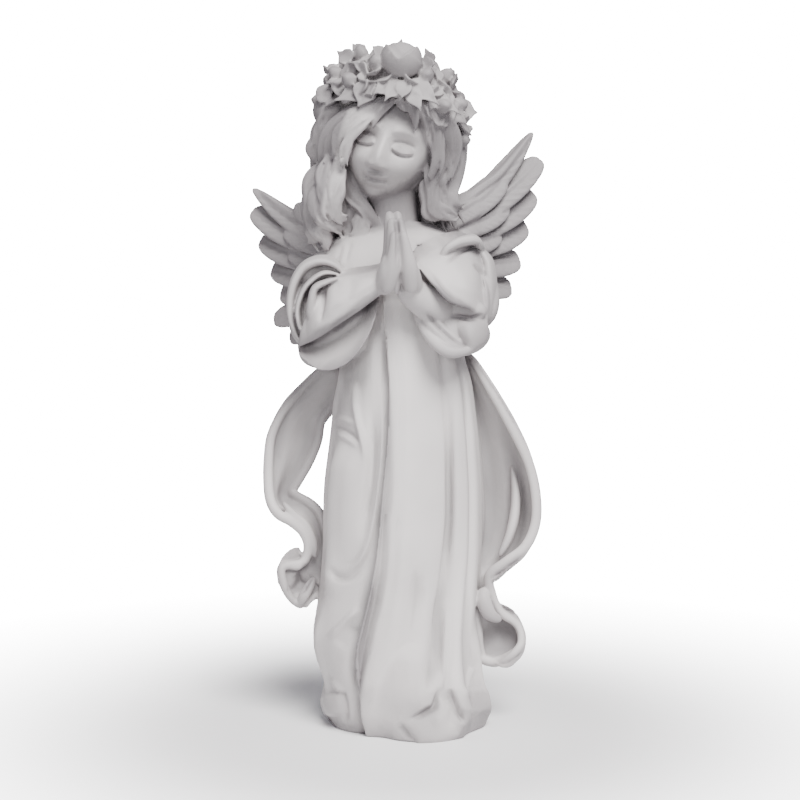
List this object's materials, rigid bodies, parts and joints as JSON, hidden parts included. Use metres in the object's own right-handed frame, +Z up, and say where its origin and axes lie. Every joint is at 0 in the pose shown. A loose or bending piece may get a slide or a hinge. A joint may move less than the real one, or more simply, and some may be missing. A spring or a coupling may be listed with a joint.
{
  "type": "angel statue",
  "caption": "Praying child angel in a long draped robe with raised wings and a rose wreath, cast in one piece for a grave, a garden or a shelf.",
  "frame": {"origin": "middle of the flat underside of the foot, where the statue rests", "axes": "+Z up the figure, -Y the way its face and its hands point, +X to its own left"},
  "size_m": [0.1799, 0.121, 0.3961],
  "materials": {
    "cast_stone": "off-white cast stone resin, smooth and matt with a faint satin sheen on worn edges"
  },
  "bodies": {
    "root": {"angel_statue": "cast_stone"}
  },
  "joints": []
}
